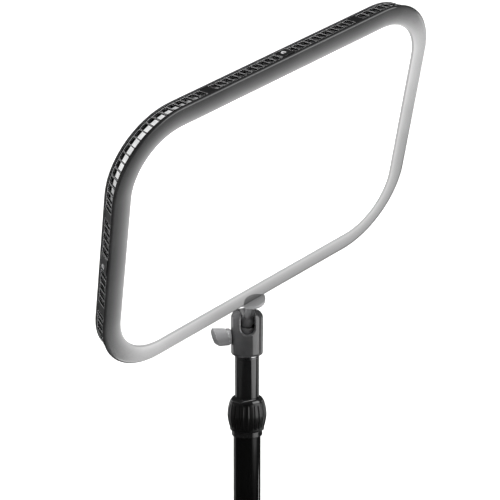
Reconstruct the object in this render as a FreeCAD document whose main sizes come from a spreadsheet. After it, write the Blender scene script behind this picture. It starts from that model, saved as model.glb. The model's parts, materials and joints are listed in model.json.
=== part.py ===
import FreeCAD, Part
import math
import os
import Sketcher
from FreeCAD import Placement, Rotation, Vector

# LED panel light on a mini ball head and a telescopic pole.
# Millimetres, +Z up the pole, origin at the middle of the pole's foot.
# Panel pieces are drawn lying flat: x along the width, y up the height, z = 0 on the front face
# and the light shining along +z. Head pieces are drawn about the ball's centre.

CELLS = [
    ("panel_wide", 350.0, "panel, edge to edge"),
    ("panel_tall", 252.5, "panel, edge to edge"),
    ("panel_corner", 64.8, "corner radius of the outline"),
    ("bezel_wide", 17.6, "visible width of the bezel"),
    ("bezel_deep", 2.0, "bezel's depth at its outer edge"),
    ("lip_wide", 4.0, "bezel lip over the diffuser"),
    ("lip_deep", 1.3, "thickness of that lip"),
    ("rim_deep", 14.8, "front face to the rim's back edge"),
    ("rim_inset", 4.2, "how far the rim leans in at its back edge"),
    ("rim_wall", 2.2, "rim wall's thickness"),
    ("window_top", 3.5, "front edge of the vents, from the front face"),
    ("window_base", 13.0, "back edge of the vents, from the front face"),
    ("rib_wide", 1.2, "rib between two vents"),
    ("pad_proud", 0.45, "how far the screw pads stand out of the rim"),
    ("diffuser_deep", 2.0, "diffuser sheet"),
    ("guide_deep", 3.0, "light guide plate"),
    ("cover_deep", 1.8, "rear cover sheet"),
    ("housing_wide", 206.0, "electronics housing at its foot"),
    ("housing_tall", 126.0, "electronics housing at its foot"),
    ("housing_corner", 26.0, "its corner radius"),
    ("housing_draft", 7.0, "how far its sides lean in"),
    ("housing_back", 28.0, "front face to the housing's back"),
    ("housing_wall", 2.0, "housing wall"),
    ("dial_round", 17.0, "dial diameter"),
    ("dial_apart", 124.0, "between the two dials"),
    ("control_low", 34.0, "controls below the panel's middle"),
    ("front_to_stem", 5.4, "front face to the stem's axis"),
    ("ball_height", 580.0, "ball's centre above the foot"),
    ("pan", 11.65, "head turned about the pole, degrees"),
    ("tilt", 30.7, "stem leaning from upright, degrees"),
    ("spin", 34.2, "panel turned about the stem, degrees"),
    ("ball_round", 12.6, "ball diameter"),
    ("neck_round", 6.2, "neck diameter beside the ball"),
    ("neck_wide", 11.0, "neck diameter below the disc"),
    ("stem_reach", 25.6, "ball's centre to the disc's underside"),
    ("disc_round", 26.0, "platform disc diameter"),
    ("disc_deep", 3.55, "platform disc thickness"),
    ("stud_round", 6.2, "quarter-inch studs"),
    ("socket_bore", 6.35, "quarter-inch threaded holes"),
    ("head_round", 28.1, "socket body diameter"),
    ("head_up", 11.0, "socket body above the ball's centre"),
    ("head_dome", 7.4, "rounding of the socket body's top"),
    ("head_down", 28.7, "socket body below the ball's centre"),
    ("notch_wide", 12.4, "U notch"),
    ("notch_down", 8.9, "foot of the notch below the ball's centre"),
    ("notch_turn", 7.65, "notch turned back from square to the lock screw, degrees"),
    ("notch_edge", 1.2, "chamfer round the notch"),
    ("screw_down", 12.4, "lock screw below the ball's centre"),
    ("knob_round", 16.2, "lock knob diameter"),
    ("knob_reach", 32.4, "knob's end from the pole's axis"),
    ("knob_neck", 14.8, "lock knob diameter beside the socket body"),
    ("knob_slant", 16.0, "knob's end leans back from square, degrees"),
    ("upper_round", 21.2, "upper tube, outside"),
    ("upper_wall", 1.2, "upper tube wall"),
    ("upper_long", 468.0, "upper tube length"),
    ("lower_round", 23.75, "lower tube, outside"),
    ("lower_wall", 0.8, "lower tube wall"),
    ("lower_long", 498.0, "lower tube length"),
    ("foot_deep", 2.0, "foot plug flange"),
    ("foot_bore", 9.52, "three-eighths threaded hole in the foot"),
    ("collar_top", 513.75, "top of the shoulder ring"),
    ("collar_foot", 479.3, "bottom of the collar"),
    ("grip_round", 34.1, "twist grip at its widest"),
    ("shoulder_round", 28.6, "shoulder ring"),
    ("base_round", 26.8, "collar base"),
    ("fit_gap", 0.05, "running fit, each side"),
    ("free_gap", 0.3, "clearance between pieces that move, each side"),
]

FRONT_RIB_PITCH = 6.4
CORNER_VENTS = 14
GRIP_RIBS = 24
DISC_NOTCHES = 44
COLLET_SLITS = 6
KNOB_FACETS = 7

doc = FreeCAD.newDocument("PanelLight")


class Size:
    """A length that remembers the sheet formula it was worked out from."""

    def __init__(self, value, formula):
        self.value = value
        self.formula = formula

    @staticmethod
    def wrap(other):
        return other if isinstance(other, Size) else Size(float(other), repr(float(other)))

    def join(self, other, sign, answer):
        return Size(answer, f"({self.formula} {sign} {Size.wrap(other).formula})")

    def __add__(self, other):
        return self.join(other, "+", self.value + Size.wrap(other).value)

    def __sub__(self, other):
        return self.join(other, "-", self.value - Size.wrap(other).value)

    def __mul__(self, other):
        return self.join(other, "*", self.value * Size.wrap(other).value)

    def __truediv__(self, other):
        return self.join(other, "/", self.value / Size.wrap(other).value)

    def __rsub__(self, other):
        return Size.wrap(other) - self

    def __radd__(self, other):
        return Size.wrap(other) + self

    def __rmul__(self, other):
        return Size.wrap(other) * self

    def __neg__(self):
        return Size.wrap(0.0) - self


def make_sheet():
    """Write the driving dimensions and hand them back by name."""
    sheet = doc.addObject("Spreadsheet::Sheet", "Dims")
    sizes = {}
    for row, (alias, value, note) in enumerate(CELLS, start=1):
        sheet.set(f"A{row}", alias)
        sheet.set(f"B{row}", str(value))
        sheet.setAlias(f"B{row}", alias)
        sheet.set(f"C{row}", note)
        sizes[alias] = Size(value, f"Dims.{alias}")
    doc.recompute()
    return type("Dims", (), sizes)


dims = make_sheet()
nodes = []


# ---------------------------------------------------------------- helpers

def bind(thing, **values):
    """Give properties of an object their sheet formulas."""
    for name, value in values.items():
        thing.setExpression(name, Size.wrap(value).formula)


def bind_base(thing, x=0.0, y=0.0, z=0.0):
    for axis, value in (("x", x), ("y", y), ("z", z)):
        thing.setExpression(f"Placement.Base.{axis}", Size.wrap(value).formula)


def keep(thing, label, place=None):
    """Name a finished sub-part and stand it in its place."""
    thing.Label = label
    if place is not None:
        thing.Placement = place
    nodes.append(thing)
    return thing


def origin_plane(body, role):
    return next(plane for plane in body.Origin.OriginFeatures if plane.Role == role)


def new_body(name):
    return doc.addObject("PartDesign::Body", name)


def new_sketch(body, role="XY_Plane", height=None):
    sketch = body.newObject("Sketcher::SketchObject", "Sketch")
    sketch.AttachmentSupport = [(origin_plane(body, role), "")]
    sketch.MapMode = "FlatFace"
    if height is not None:
        sketch.setExpression("AttachmentOffset.Base.z", Size.wrap(height).formula)
    return sketch


def fix(sketch, kind, *where, value):
    """Add a dimension to a sketch and bind it to its formula."""
    value = Size.wrap(value)
    index = sketch.addConstraint(Sketcher.Constraint(kind, *where, value.value))
    sketch.setExpression(f"Constraints[{index}]", value.formula)


def rounded_loop(sketch, wide, tall, corner, middle=(0.0, 0.0)):
    """A rounded rectangle: four sides joined by tangent quarter circles."""
    wide, tall, corner = Size.wrap(wide), Size.wrap(tall), Size.wrap(corner)
    mid_x, mid_y = Size.wrap(middle[0]), Size.wrap(middle[1])
    half_wide, half_tall, turn = wide.value / 2, tall.value / 2, corner.value
    flat_x, flat_y = half_wide - turn, half_tall - turn
    shift = Vector(mid_x.value, mid_y.value, 0)
    sides = [
        (Vector(-flat_x, -half_tall, 0), Vector(flat_x, -half_tall, 0)),
        (Vector(half_wide, -flat_y, 0), Vector(half_wide, flat_y, 0)),
        (Vector(flat_x, half_tall, 0), Vector(-flat_x, half_tall, 0)),
        (Vector(-half_wide, flat_y, 0), Vector(-half_wide, -flat_y, 0)),
    ]
    centres = [Vector(flat_x, -flat_y, 0), Vector(flat_x, flat_y, 0),
               Vector(-flat_x, flat_y, 0), Vector(-flat_x, -flat_y, 0)]
    first = sketch.GeometryCount
    for index in range(4):
        start, end = sides[index]
        sketch.addGeometry(Part.LineSegment(start + shift, end + shift), False)
        circle = Part.Circle(centres[index] + shift, Vector(0, 0, 1), turn)
        begin = math.pi / 2 * (index - 1)
        sketch.addGeometry(Part.ArcOfCircle(circle, begin, begin + math.pi / 2), False)
    line = [first + 2 * index for index in range(4)]
    for index in range(4):
        arc = line[index] + 1
        sketch.addConstraint(Sketcher.Constraint("Tangent", line[index], 2, arc, 1))
        sketch.addConstraint(Sketcher.Constraint("Tangent", arc, 2, line[(index + 1) % 4], 1))
        level = "Horizontal" if index % 2 == 0 else "Vertical"
        sketch.addConstraint(Sketcher.Constraint(level, line[index]))
        if index:
            sketch.addConstraint(Sketcher.Constraint("Equal", first + 1, arc))
    fix(sketch, "Radius", first + 1, value=corner)
    fix(sketch, "DistanceX", line[1], 1, value=mid_x + wide / 2)
    fix(sketch, "DistanceX", line[3], 1, value=mid_x - wide / 2)
    fix(sketch, "DistanceY", line[0], 1, value=mid_y - tall / 2)
    fix(sketch, "DistanceY", line[2], 1, value=mid_y + tall / 2)


def panel_loop(sketch, inset):
    """The panel's outline moved in by an inset."""
    rounded_loop(sketch, dims.panel_wide - 2 * Size.wrap(inset), dims.panel_tall - 2 * Size.wrap(inset),
                 dims.panel_corner - inset)


def corner_loop(sketch, points):
    """A closed outline of straight runs, each corner held by its two coordinates."""
    points = [(Size.wrap(x), Size.wrap(y)) for x, y in points]
    first = sketch.GeometryCount
    count = len(points)
    for index, (x, y) in enumerate(points):
        next_x, next_y = points[(index + 1) % count]
        sketch.addGeometry(Part.LineSegment(Vector(x.value, y.value, 0),
                                            Vector(next_x.value, next_y.value, 0)), False)
    for index, (x, y) in enumerate(points):
        following = first + (index + 1) % count
        sketch.addConstraint(Sketcher.Constraint("Coincident", first + index, 2, following, 1))
        fix(sketch, "DistanceX", first + index, 1, value=x)
        fix(sketch, "DistanceY", first + index, 1, value=y)


def pad(body, sketch, length):
    feature = body.newObject("PartDesign::Pad", "Pad")
    feature.Profile = sketch
    bind(feature, Length=length)
    return feature


def sheet_layer(name, inset, low, deep, hole=None):
    """A flat sheet of the panel's outline, or a ring of it when a hole's inset is given."""
    body = new_body(name)
    add_layer(body, inset, low, deep, hole)
    return body


def add_layer(body, inset, low, deep, hole=None):
    sketch = new_sketch(body, height=low)
    panel_loop(sketch, inset)
    if hole is not None:
        panel_loop(sketch, hole)
    return pad(body, sketch, deep)


def loft(body, kind, sections):
    """Join two rounded rectangles at two heights, adding or taking away."""
    sketches = []
    for height, wide, tall, corner in sections:
        sketch = new_sketch(body, height=height)
        rounded_loop(sketch, wide, tall, corner)
        sketches.append(sketch)
    feature = body.newObject(kind, "Loft")
    feature.Profile = sketches[0]
    feature.Sections = sketches[1:]
    feature.Ruled = True
    return feature


def turned(name, points):
    """A body of revolution about z; points are (radius, height) round its half section."""
    body = new_body(name)
    sketch = new_sketch(body, "XZ_Plane")
    corner_loop(sketch, points)
    feature = body.newObject("PartDesign::Revolution", "Revolution")
    feature.Profile = sketch
    feature.ReferenceAxis = (sketch, ["V_Axis"])
    feature.Angle = 360
    return body


def soften(body, kind, size, chosen):
    """Fillet or chamfer the edges of a body's tip for which chosen(edge) holds."""
    doc.recompute()
    tip = body.Tip
    names = [f"Edge{index}" for index, edge in enumerate(tip.Shape.Edges, start=1) if chosen(edge)]
    feature = body.newObject(kind, "Softened")
    feature.Base = (tip, names)
    bind(feature, **{"Radius" if kind.endswith("Fillet") else "Size": size})
    return feature


def cylinder(name, round_, low, high, axis=Vector(0, 0, 1), through=(0.0, 0.0, 0.0)):
    """A cylinder along an axis from low to high, measured from the point it passes through."""
    shape = doc.addObject("Part::Cylinder", name)
    low, high = Size.wrap(low), Size.wrap(high)
    bind(shape, Radius=Size.wrap(round_) / 2, Height=high - low)
    shape.Placement = Placement(Vector(), Rotation(Vector(0, 0, 1), axis))
    base = [Size.wrap(start) + low * part for start, part in zip(through, (axis.x, axis.y, axis.z))]
    bind_base(shape, *base)
    return shape


def box(name, lows, highs):
    """A box between two opposite corners."""
    shape = doc.addObject("Part::Box", name)
    lows, highs = [Size.wrap(low) for low in lows], [Size.wrap(high) for high in highs]
    bind(shape, Length=highs[0] - lows[0], Width=highs[1] - lows[1], Height=highs[2] - lows[2])
    bind_base(shape, *lows)
    return shape


def block(name, place, lows, highs):
    """A kept box between two corners, in the place of the assembly it belongs to."""
    shape = doc.addObject("Part::Box", name)
    lows, highs = [Size.wrap(low) for low in lows], [Size.wrap(high) for high in highs]
    bind(shape, Length=highs[0] - lows[0], Width=highs[1] - lows[1], Height=highs[2] - lows[2])
    corner = Vector(*[low.value for low in lows])
    return keep(shape, name, place * Placement(corner, Rotation()))


def cut(name, base, tools):
    """Take several tools away from a base."""
    tool = tools[0] if len(tools) == 1 else fuse(name + "_tools", tools)
    result = doc.addObject("Part::Cut", name)
    result.Base = base
    result.Tool = tool
    return result


def fuse(name, shapes):
    result = doc.addObject("Part::MultiFuse", name)
    result.Shapes = shapes
    return result


def tube(name, outer, inner, low, high):
    return cut(name, cylinder(name + "_outside", outer, low, high),
               [cylinder(name + "_inside", inner, Size.wrap(low) - 1, Size.wrap(high) + 1)])


def group(name, shapes):
    """Many alike solids as one object."""
    feature = doc.addObject("Part::Feature", name)
    feature.Shape = Part.makeCompound(shapes)
    return feature


def solid_box(lows, highs):
    size = [high - low for low, high in zip(lows, highs)]
    return Part.makeBox(*size, Vector(*lows))


# ---------------------------------------------------------------- places

def places():
    """The head turned by pan, and the panel leaning on the ball by pan, tilt and spin."""
    ball = Vector(0, 0, dims.ball_height.value)
    pan = Rotation(Vector(0, 0, 1), dims.pan.value)
    tilt = Rotation(Vector(1, 0, 0), dims.tilt.value)
    spin = Rotation(Vector(0, 0, 1), dims.spin.value)
    upright = Rotation(Vector(1, 0, 0), 90)
    stem = pan * tilt
    panel = stem * spin * upright
    reach = (dims.stem_reach + dims.disc_deep + 0.15 + dims.panel_tall / 2).value
    middle = ball + panel.multVec(Vector(0, reach, dims.front_to_stem.value))
    return Placement(ball, pan), Placement(ball, stem), Placement(middle, panel)


HEAD_PLACE, STEM_PLACE, PANEL_PLACE = places()
HALF_WIDE = dims.panel_wide / 2
HALF_TALL = dims.panel_tall / 2
INSERT_ROUND = 8.4
INSERT_LONG = 8.0


# ---------------------------------------------------------------- panel, front to back

def front_bezel():
    """Satin frame with a thin lip over the diffuser and a softened outer edge."""
    body = new_body("bezel_frame")
    lip_inner = dims.bezel_wide
    add_layer(body, 0.0, -dims.bezel_deep, dims.bezel_deep - dims.lip_deep,
              hole=lip_inner - dims.lip_wide)
    add_layer(body, 0.0, -dims.lip_deep, dims.lip_deep, hole=lip_inner)
    half = HALF_WIDE.value

    def on_front(edge):
        return edge.BoundBox.ZMin > -0.01

    def on_outline(edge):
        reach = max(abs(edge.BoundBox.XMin), abs(edge.BoundBox.XMax))
        rise = max(abs(edge.BoundBox.YMin), abs(edge.BoundBox.YMax))
        return reach > half - 0.1 or rise > HALF_TALL.value - 0.1

    soften(body, "PartDesign::Fillet", 1.6, lambda edge: on_front(edge) and on_outline(edge))
    soften(body, "PartDesign::Chamfer", 0.5, lambda edge: on_front(edge) and not on_outline(edge)
           and edge.BoundBox.DiagonalLength > 20 and inner_reach(edge))
    channel = cylinder("bezel_channel", INSERT_ROUND, -HALF_TALL - 1, -HALF_TALL + INSERT_LONG,
                       Vector(0, 1, 0), (0, 0, -dims.front_to_stem))
    keep(cut("front_bezel", body, [channel]), "front_bezel", PANEL_PLACE)


def inner_reach(edge):
    """True for an edge on the bezel's inner outline."""
    wide = (HALF_WIDE - dims.bezel_wide).value
    tall = (HALF_TALL - dims.bezel_wide).value
    reach = max(abs(edge.BoundBox.XMin), abs(edge.BoundBox.XMax))
    rise = max(abs(edge.BoundBox.YMin), abs(edge.BoundBox.YMax))
    return reach < wide + 0.05 and rise < tall + 0.05


def rim_section(inset):
    """Front and back outlines of the leaning rim, moved in by an inset."""
    wide = dims.panel_wide - 2 * Size.wrap(inset)
    tall = dims.panel_tall - 2 * Size.wrap(inset)
    corner = dims.panel_corner - inset
    lean = dims.rim_inset
    return [(-dims.bezel_deep, wide, tall, corner),
            (-dims.rim_deep, wide - 2 * lean, tall - 2 * lean, corner - lean)]


# Solid stretches of the rim between its vents, measured along each side from the panel's middle.
SIDE_SOLIDS = [(-51.4, -42.6), (-7.7, 7.7), (42.6, 51.4)]
TOP_SOLIDS = [(-82.9, -74.1), (-3.6, 9.6), (80.1, 88.9)]
FOOT_SOLIDS = [(-85.9, -77.1), (-15.5, 15.5), (77.1, 85.9)]
SCREW_SHIFT = 3.0


def vent_spans(solids, reach):
    """Centres and widths of the vents between the solid stretches of one side."""
    edges = [-reach] + [edge for solid in solids for edge in solid] + [reach]
    spans = []
    for start, end in zip(edges[::2], edges[1::2]):
        count = max(1, round((end - start) / FRONT_RIB_PITCH))
        pitch = (end - start) / count
        spans += [(start + (index + 0.5) * pitch, pitch - dims.rib_wide.value) for index in range(count)]
    return spans


def vent_cutters():
    """One block for each vent, cutting straight through the rim's wall."""
    low, high = -dims.window_base.value, -dims.window_top.value
    deep = dims.rim_inset.value + dims.rim_wall.value + 1.0
    cutters = []
    half_x, half_y = HALF_WIDE.value, HALF_TALL.value
    corner = dims.panel_corner.value
    for side, solids in ((1, TOP_SOLIDS), (-1, FOOT_SOLIDS)):
        near, far = sorted((side * (half_y - deep), side * (half_y + 1)))
        for centre, wide in vent_spans(solids, half_x - corner):
            cutters.append(solid_box((centre - wide / 2, near, low), (centre + wide / 2, far, high)))
    for side in (-1, 1):
        near, far = sorted((side * (half_x - deep), side * (half_x + 1)))
        for centre, wide in vent_spans(SIDE_SOLIDS, half_y - corner):
            cutters.append(solid_box((near, centre - wide / 2, low), (far, centre + wide / 2, high)))
    step = 90.0 / CORNER_VENTS
    wide = math.radians(step) * corner - dims.rib_wide.value
    for quarter, (side_x, side_y) in enumerate(((1, 1), (-1, 1), (-1, -1), (1, -1))):
        centre = Vector(side_x * (half_x - corner), side_y * (half_y - corner), 0)
        for index in range(CORNER_VENTS):
            cutter = solid_box((corner - deep, -wide / 2, low), (corner + 1, wide / 2, high))
            cutter.rotate(Vector(), Vector(0, 0, 1), 90 * quarter + (index + 0.5) * step)
            cutter.translate(centre)
            cutters.append(cutter)
    return cutters


def rim_screw_spots():
    """Screw points on the rim's pads: (point on the pad, direction outward)."""
    depth = 8.6
    lean = dims.rim_inset.value * (depth - dims.bezel_deep.value) / (dims.rim_deep - dims.bezel_deep).value
    out_x = HALF_WIDE.value - lean + dims.pad_proud.value
    out_y = HALF_TALL.value - lean + dims.pad_proud.value
    return [(Vector(-out_x, -SCREW_SHIFT, -depth), Vector(-1, 0, 0)),
            (Vector(out_x, SCREW_SHIFT, -depth), Vector(1, 0, 0)),
            (Vector(SCREW_SHIFT, out_y, -depth), Vector(0, 1, 0))]


SEAM_STEP = 0.3
REAR_FLANGE = 1.2
MIDDLE = 1
PAD_TOP, PAD_FOOT, PAD_REACH = 3.0, 13.6, 6.0
BOSS_ROUND, BOSS_LONG = 5.6, 3.3


def vent_ring():
    """The rim: a leaning wall pierced all round, with flanges, screw pads and a seat for the stem."""
    wall = new_body("rim_wall_body")
    loft(wall, "PartDesign::AdditiveLoft", rim_section(SEAM_STEP))
    loft(wall, "PartDesign::SubtractiveLoft", rim_section(dims.rim_wall))
    add_layer(wall, 1.0, -dims.window_top, dims.window_top - dims.bezel_deep, hole=8.5)
    add_layer(wall, dims.rim_inset + 1.0, -dims.rim_deep, REAR_FLANGE, hole=11.0)

    proud = new_body("rim_proud")
    loft(proud, "PartDesign::AdditiveLoft", rim_section(-dims.pad_proud))
    blocks = []
    for side in (-1, 1):
        edge = side * HALF_WIDE
        near, far = (edge - 1, edge + PAD_REACH) if side < 0 else (edge - PAD_REACH, edge + 1)
        start, end = SIDE_SOLIDS[MIDDLE]
        blocks.append(box("side_pad", (near, start, -PAD_FOOT), (far, end, -PAD_TOP)))
    start, end = TOP_SOLIDS[MIDDLE]
    blocks.append(box("top_pad", (start, HALF_TALL - PAD_REACH, -PAD_FOOT),
                      (end, HALF_TALL + 1, -PAD_TOP)))
    pads = doc.addObject("Part::Common", "pads")
    pads.Base = proud
    pads.Tool = fuse("pad_blocks", blocks)
    seat = box("stem_seat", (-SEAT_HALF, -HALF_TALL, -dims.rim_deep),
               (SEAT_HALF, -HALF_TALL + SEAT_REACH, -dims.bezel_deep))
    bosses = [Part.makeCylinder(BOSS_ROUND / 2, BOSS_LONG, Vector(spot.x, spot.y, -dims.rim_deep.value))
              for spot in rear_screw_spots()]

    cutters = group("vent_cutters", vent_cutters())
    insert_hole = cylinder("insert_hole", INSERT_ROUND, -HALF_TALL - 1, -HALF_TALL + INSERT_LONG,
                           Vector(0, 1, 0), (0, 0, -dims.front_to_stem))
    screw_holes = [Part.makeCylinder(2.1, 1.4, spot - 1.2 * out, out).fuse(
                   Part.makeCylinder(1.25, 12, spot - 9 * out, out)) for spot, out in rim_screw_spots()]
    screw_holes += [Part.makeCylinder(REAR_SHANK / 2, 8, spot) for spot in rear_screw_spots()]
    holes = group("rim_screw_holes", screw_holes)
    solid = fuse("rim_solid", [wall, pads, seat, group("rim_bosses", bosses)])
    keep(cut("vent_ring", solid, [cutters, insert_hole, holes]), "vent_ring", PANEL_PLACE)


def rim_screws():
    """Small pan-head screws in the rim's pads."""
    screws = []
    for spot, out in rim_screw_spots():
        head = Part.makeCylinder(2.05, 1.1, spot - 1.2 * out, out)
        shank = Part.makeCylinder(1.2, 3.2, spot - 4.2 * out, out)
        slot = Part.makeCylinder(0.9, 0.8, spot - 0.7 * out, out)
        screws.append(head.fuse(shank).cut(slot))
    keep(group("rim_screws", screws), "rim_screws", PANEL_PLACE)


GUIDE_FRONT = 3.8
FRAME_INSET = 6.4
FRAME_WALL = 2.4
FRAME_FOOT = 11.2
PLATE_FOOT, PLATE_DEEP = 9.6, 1.2
SEAT_HALF, SEAT_REACH = 14.5, 8.4
STRIP_INSET = 11.6


def light_stack():
    """Diffuser, film, light guide, reflector and heat plate, all in the inner frame."""
    inset = dims.bezel_wide - dims.lip_wide + 0.2
    keep(sheet_layer("diffuser", inset, -dims.lip_deep - dims.diffuser_deep, dims.diffuser_deep),
         "diffuser", PANEL_PLACE)
    keep(sheet_layer("diffusion_film", inset, -3.65, 0.25), "diffusion_film", PANEL_PLACE)
    keep(sheet_layer("light_guide", 14.0, -(GUIDE_FRONT + dims.guide_deep), dims.guide_deep),
         "light_guide", PANEL_PLACE)
    keep(sheet_layer("reflector_sheet", 14.0, -7.2, 0.3), "reflector_sheet", PANEL_PLACE)
    keep(sheet_layer("heat_plate", FRAME_INSET + FRAME_WALL, -PLATE_FOOT, PLATE_DEEP),
         "heat_plate", PANEL_PLACE)
    ring = sheet_layer("frame_ring", FRAME_INSET, -FRAME_FOOT, FRAME_FOOT - dims.window_top,
                       hole=FRAME_INSET + FRAME_WALL)
    space = box("seat_space", (-SEAT_HALF - dims.free_gap, -HALF_TALL, -FRAME_FOOT - 1),
                (SEAT_HALF + dims.free_gap, -HALF_TALL + SEAT_REACH + dims.free_gap, 0.0))
    keep(cut("inner_frame", ring, [space]), "inner_frame", PANEL_PLACE)


def led_strips():
    """Two circuit strips that shine into the guide's long edges, and their chips."""
    half_long = 106.0
    chip_pitch = 6.0
    chips = []
    for side, name in ((1, "led_strip_top"), (-1, "led_strip_bottom")):
        outer = side * (HALF_TALL - STRIP_INSET)
        inner = outer - side * 1.0
        low, high = (inner, outer) if side > 0 else (outer, inner)
        block(name, PANEL_PLACE, (-half_long, low, -8.4), (half_long, high, -3.75))
        face = inner.value
        for index in range(-17, 18):
            near, far = sorted((face, face - side * 1.1))
            chips.append(solid_box((index * chip_pitch - 1.5, near, -6.6),
                                   (index * chip_pitch + 1.5, far, -4.0)))
    keep(group("led_chips", chips), "led_chips", PANEL_PLACE)


def vent_slots():
    """Rows of slots in the rear cover, above and below the housing."""
    slots = []
    for side in (-1, 1):
        for row in range(3):
            for column in range(-3, 4):
                x, y = column * 26.0, side * (75.0 + row * 8.0)
                slots.append(solid_box((x - 10.5, y - 1.4, -20), (x + 10.5, y + 1.4, -14)))
    return slots


REAR_SCREW_INSET = 8.4
REAR_SHANK = 2.5


def rear_screw_spots():
    near_x, near_y = HALF_WIDE.value - REAR_SCREW_INSET, HALF_TALL.value - REAR_SCREW_INSET
    around = [(side * 92.0, end * near_y) for side in (-1, 1) for end in (-1, 1)]
    around += [(side * near_x, end * 48.0) for side in (-1, 1) for end in (-1, 1)]
    return [Vector(x, y, -dims.rim_deep.value - dims.cover_deep.value) for x, y in around]


def rear_cover():
    """Back sheet with rounded edges, vent slots and a window under the housing."""
    body = new_body("cover_sheet")
    low = -(dims.rim_deep + dims.cover_deep)
    sketch = new_sketch(body, height=low)
    panel_loop(sketch, dims.rim_inset)
    rounded_loop(sketch, 160.0, 90.0, 10.0)
    pad(body, sketch, dims.cover_deep)
    reach = (HALF_WIDE - dims.rim_inset).value
    rise = (HALF_TALL - dims.rim_inset).value

    def back_edge(edge):
        bounds = edge.BoundBox
        outside = max(bounds.XMax, -bounds.XMin) > reach - 0.1 or max(bounds.YMax, -bounds.YMin) > rise - 0.1
        return outside and bounds.ZMax < low.value + 0.01

    soften(body, "PartDesign::Fillet", 1.2, back_edge)
    holes = [Part.makeCylinder(REAR_SHANK / 2 + 0.05, 6, spot - Vector(0, 0, 2))
             for spot in rear_screw_spots()]
    keep(cut("rear_cover", body, [group("slot_cutters", vent_slots()), group("cover_holes", holes)]),
         "rear_cover", PANEL_PLACE)


def rear_screws():
    """Button-head screws round the rear cover and on the housing."""
    screws = []
    spots = rear_screw_spots()
    back = -dims.housing_back.value
    spots += [Vector(side * 82.0, end * 43.0, back) for side in (-1, 1) for end in (-1, 1)]
    for spot in spots:
        head = Part.makeCylinder(2.6, 1.3, spot - Vector(0, 0, 1.3))
        edge = [edge for edge in head.Edges if edge.BoundBox.ZMax < spot.z - 1.2 and edge.Closed]
        head = head.makeFillet(0.8, edge[:1])
        shank = Part.makeCylinder(REAR_SHANK / 2, 4.6, spot - Vector(0, 0, 0.1))
        socket = Part.makeCylinder(0.95, 0.8, spot - Vector(0, 0, 1.3))
        screws.append(head.fuse(shank).cut(socket))
    keep(group("rear_screws", screws), "rear_screws", PANEL_PLACE)


def control_spots():
    low = -dims.control_low.value
    apart = dims.dial_apart.value / 2
    return Vector(-apart, low, 0), Vector(apart, low, 0), Vector(0, low, 0), Vector(30, low, 0)


def rear_housing():
    """Drafted shell over the driver board, open towards the panel."""
    wide, tall, corner = dims.housing_wide, dims.housing_tall, dims.housing_corner
    draft, wall = dims.housing_draft, dims.housing_wall
    top = -(dims.rim_deep + dims.cover_deep)
    back = -dims.housing_back
    body = new_body("housing_shell")
    loft(body, "PartDesign::AdditiveLoft",
         [(top, wide, tall, corner), (back, wide - 2 * draft, tall - 2 * draft, corner - draft)])
    inner_draft = draft - 1
    loft(body, "PartDesign::SubtractiveLoft",
         [(top, wide - 2 * wall, tall - 2 * wall, corner - wall),
          (back + wall, wide - 2 * wall - 2 * inner_draft, tall - 2 * wall - 2 * inner_draft,
           corner - wall - inner_draft)])
    soften(body, "PartDesign::Fillet", 1.6, lambda edge: edge.BoundBox.ZMax < back.value + 0.01)
    left, right, middle, inlet = control_spots()
    tools = [cylinder("dial_hole", 6.6, back - 1, back + 4, through=(spot.x, spot.y, 0))
             for spot in (left, right)]
    tools.append(box("switch_hole", (middle.x - 9.5, middle.y - 7, back - 1),
                     (middle.x + 9.5, middle.y + 7, back + 4)))
    tools.append(cylinder("inlet_hole", 11.0, back - 1, back + 4, through=(inlet.x, inlet.y, 0)))
    screw_holes = [Part.makeCylinder(1.3, 6, Vector(x, y, back.value - 1))
                   for x in (-82, 82) for y in (-43, 43)]
    tools.append(group("housing_screw_holes", screw_holes))
    keep(cut("rear_housing", body, tools), "rear_housing", PANEL_PLACE)


PIVOT_ROUND = 1.8
PIVOT_DEEP = 0.6


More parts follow.
